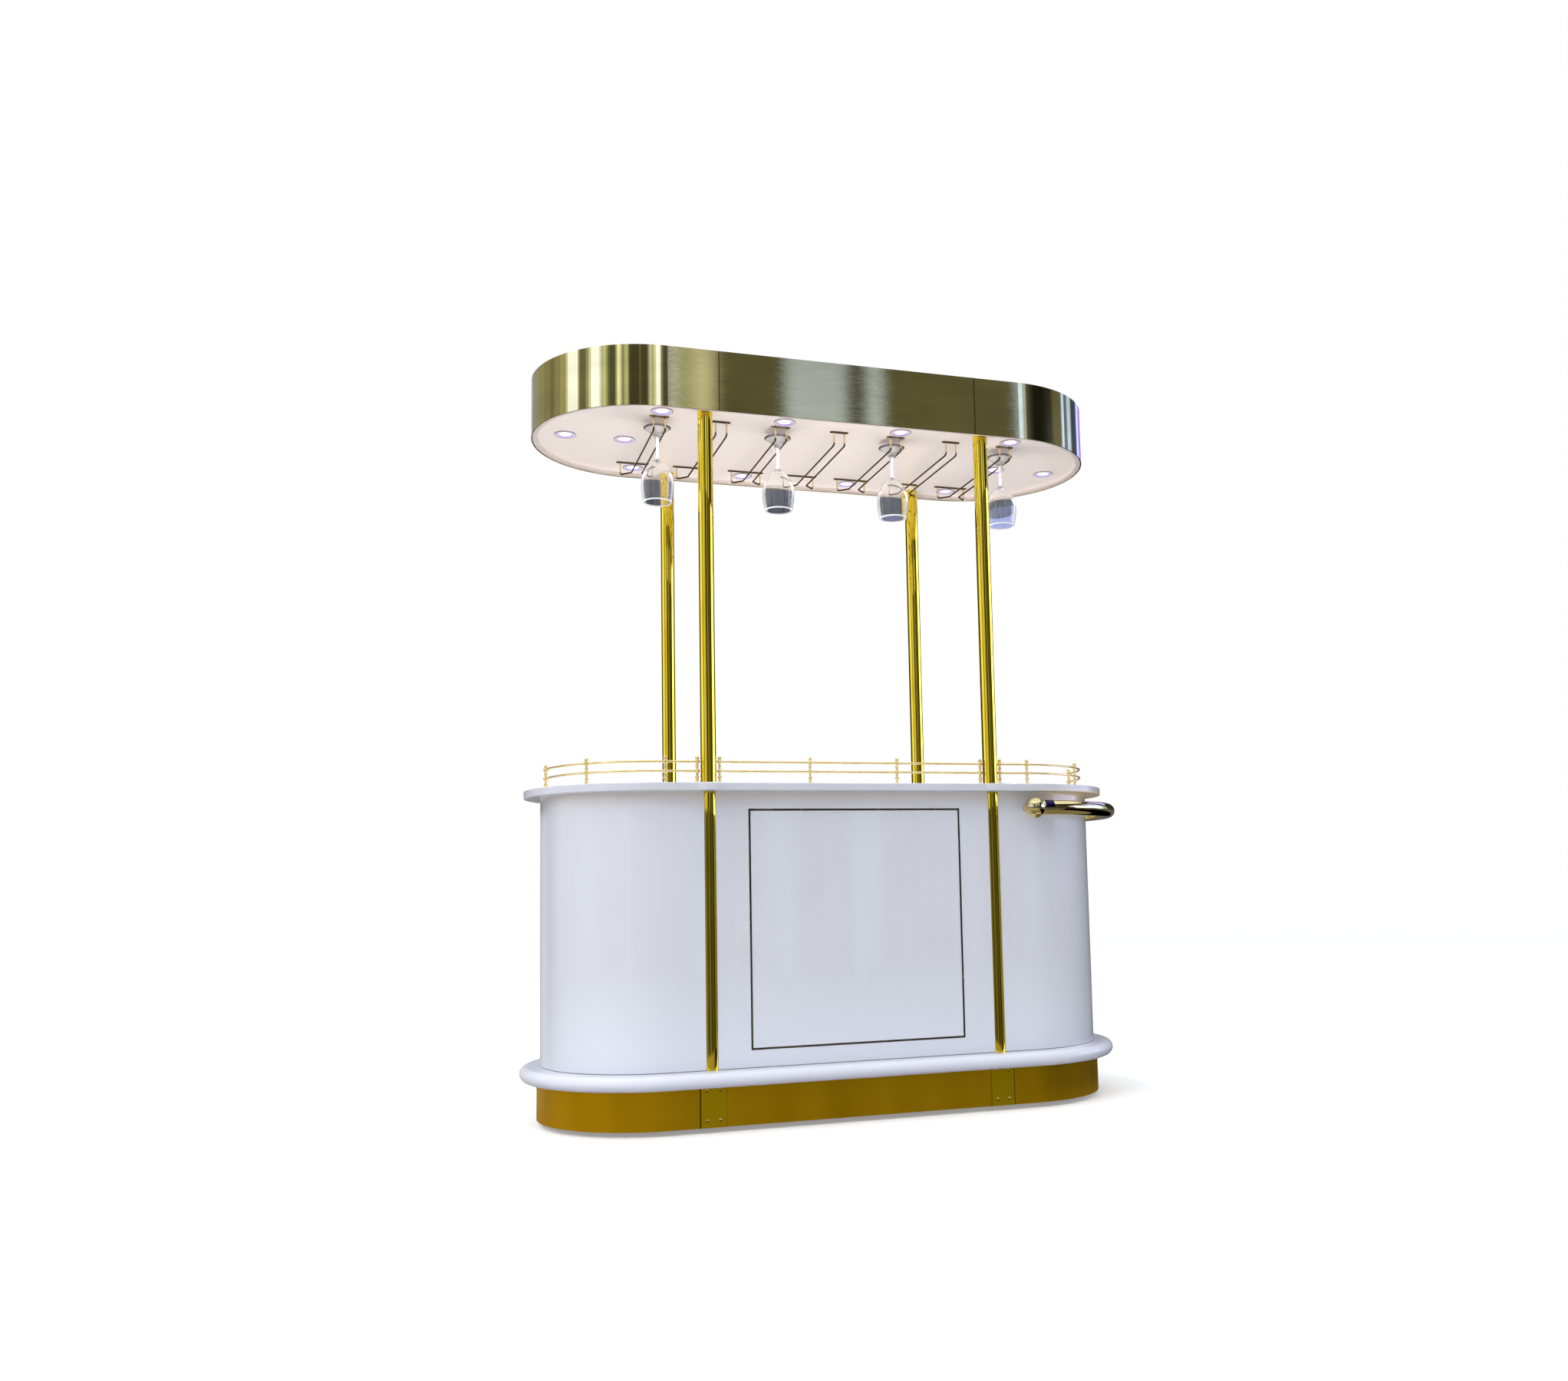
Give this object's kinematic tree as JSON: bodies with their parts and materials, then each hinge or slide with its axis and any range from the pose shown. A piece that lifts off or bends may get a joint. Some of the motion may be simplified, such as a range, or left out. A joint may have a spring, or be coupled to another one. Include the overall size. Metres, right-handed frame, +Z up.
{
  "type": "champagne_cart",
  "caption": "Champagne cart: white stadium-shaped cabinet on hidden castors, brass columns and lit canopy, glass racks with wine glasses, gallery rail and push handle",
  "frame": {"origin": "on the floor, under the middle of the bounding box", "axes": "+X along the cart towards the push handle, +Y across it from the guests' side to the server's side, +Z up"},
  "size_m": [1.8005, 0.77, 2.106],
  "materials": {
    "satin_brass_plinth": "satin",
    "brushed_brass_fascia": "brushed",
    "polished_brass_column": "polished",
    "polished_brass_gallery": "polished",
    "polished_brass_handle": "polished",
    "polished_brass_rack": "polished",
    "inlay_brass": "satin",
    "hardware_brass": "polished",
    "plywood": "clear lacquer",
    "white_ledge": "satin",
    "white_counter": "satin",
    "white_lacquer": "gloss",
    "white_board": "satin paint",
    "ceiling_paint": "matt",
    "white_metal": "satin",
    "lens_diffuser": "frosted, lit",
    "grey_plastic": "moulded",
    "clear_glass": "clear",
    "zinc_steel": "zinc plated",
    "grey_rubber": "moulded"
  },
  "bodies": {
    "cart": {"base_deck": "plywood", "plinth_curb": "plywood", "skirt_front": "satin_brass_plinth", "skirt_back": "satin_brass_plinth", "skirt_left": "satin_brass_plinth", "skirt_right": "satin_brass_plinth", "skirt_straps": "satin_brass_plinth", "bumper_ledge": "white_ledge", "front_panel": "white_lacquer", "front_inlay": "inlay_brass", "end_panel_left": "white_lacquer", "end_panel_right": "white_lacquer", "back_frame": "white_lacquer", "bulkheads": "white_board", "shelf": "white_board", "hinge_frame_leaves": "hardware_brass", "door_catches": "grey_plastic", "countertop": "white_counter", "column_front_left": "polished_brass_column", "column_front_right": "polished_brass_column", "column_back_left": "polished_brass_column", "column_back_right": "polished_brass_column", "column_spigots": "zinc_steel", "gallery_posts": "polished_brass_gallery", "gallery_rails": "polished_brass_gallery", "handle_tube_front": "polished_brass_handle", "handle_tube_back": "polished_brass_handle", "handle_balls": "polished_brass_handle", "handle_standoffs": "polished_brass_handle", "fascia_front": "brushed_brass_fascia", "fascia_back": "brushed_brass_fascia", "fascia_left": "brushed_brass_fascia", "fascia_right": "brushed_brass_fascia", "canopy_rim": "ceiling_paint", "canopy_ceiling": "ceiling_paint", "canopy_frame": "plywood", "canopy_top": "plywood", "downlight_bezels": "white_metal", "downlight_lenses": "lens_diffuser", "led_driver": "grey_plastic", "racks_left": "polished_brass_rack", "rack_centre": "polished_brass_rack", "racks_right": "polished_brass_rack", "castor_plates": "zinc_steel"},
    "castor_swivel_front_left": {"castor_fork_front_left": "zinc_steel"},
    "castor_roller_front_left": {"castor_wheel_front_left": "grey_rubber"},
    "castor_swivel_front_right": {"castor_fork_front_right": "zinc_steel"},
    "castor_roller_front_right": {"castor_wheel_front_right": "grey_rubber"},
    "castor_swivel_back_left": {"castor_fork_back_left": "zinc_steel"},
    "castor_roller_back_left": {"castor_wheel_back_left": "grey_rubber"},
    "castor_swivel_back_right": {"castor_fork_back_right": "zinc_steel"},
    "castor_roller_back_right": {"castor_wheel_back_right": "grey_rubber"},
    "left_door": {"door_left": "white_lacquer", "door_fittings_left": "hardware_brass"},
    "right_door": {"door_right": "white_lacquer", "door_fittings_right": "hardware_brass"},
    "glass_1": {"wine_glass_1": "clear_glass"},
    "glass_2": {"wine_glass_2": "clear_glass"},
    "glass_3": {"wine_glass_3": "clear_glass"},
    "glass_4": {"wine_glass_4": "clear_glass"}
  },
  "joints": [
    {"name": "swivel_front_left", "type": "hinge", "parent": "cart", "child": "castor_swivel_front_left", "pos_m": [-0.49738, -0.185, 0.093], "axis": [0, 0, 1], "continuous": true},
    {"name": "roll_front_left", "type": "hinge", "parent": "castor_swivel_front_left", "child": "castor_roller_front_left", "pos_m": [-0.46937, -0.185, 0.0375], "axis": [0, 1, 0], "continuous": true},
    {"name": "swivel_front_right", "type": "hinge", "parent": "cart", "child": "castor_swivel_front_right", "pos_m": [0.46263, -0.185, 0.093], "axis": [0, 0, 1], "continuous": true},
    {"name": "roll_front_right", "type": "hinge", "parent": "castor_swivel_front_right", "child": "castor_roller_front_right", "pos_m": [0.49062, -0.185, 0.0375], "axis": [0, 1, 0], "continuous": true},
    {"name": "swivel_back_left", "type": "hinge", "parent": "cart", "child": "castor_swivel_back_left", "pos_m": [-0.49738, 0.185, 0.093], "axis": [0, 0, 1], "continuous": true},
    {"name": "roll_back_left", "type": "hinge", "parent": "castor_swivel_back_left", "child": "castor_roller_back_left", "pos_m": [-0.46937, 0.185, 0.0375], "axis": [0, 1, 0], "continuous": true},
    {"name": "swivel_back_right", "type": "hinge", "parent": "cart", "child": "castor_swivel_back_right", "pos_m": [0.46263, 0.185, 0.093], "axis": [0, 0, 1], "continuous": true},
    {"name": "roll_back_right", "type": "hinge", "parent": "castor_swivel_back_right", "child": "castor_roller_back_right", "pos_m": [0.49062, 0.185, 0.0375], "axis": [0, 1, 0], "continuous": true},
    {"name": "door_left_hinge", "type": "hinge", "parent": "cart", "child": "left_door", "pos_m": [-0.35587, 0.31, 0.527], "axis": [0, 0, 1], "range_deg": [0, 105]},
    {"name": "door_right_hinge", "type": "hinge", "parent": "cart", "child": "right_door", "pos_m": [0.32112, 0.31, 0.527], "axis": [0, 0, -1], "range_deg": [0, 105]},
    {"name": "glass_1_slide", "type": "slide", "parent": "cart", "child": "glass_1", "axis": [0, 1, 0], "range_m": [0, 0.36]},
    {"name": "glass_2_slide", "type": "slide", "parent": "cart", "child": "glass_2", "axis": [0, 1, 0], "range_m": [0, 0.36]},
    {"name": "glass_3_slide", "type": "slide", "parent": "cart", "child": "glass_3", "axis": [0, 1, 0], "range_m": [0, 0.36]},
    {"name": "glass_4_slide", "type": "slide", "parent": "cart", "child": "glass_4", "axis": [0, 1, 0], "range_m": [0, 0.36]}
  ]
}
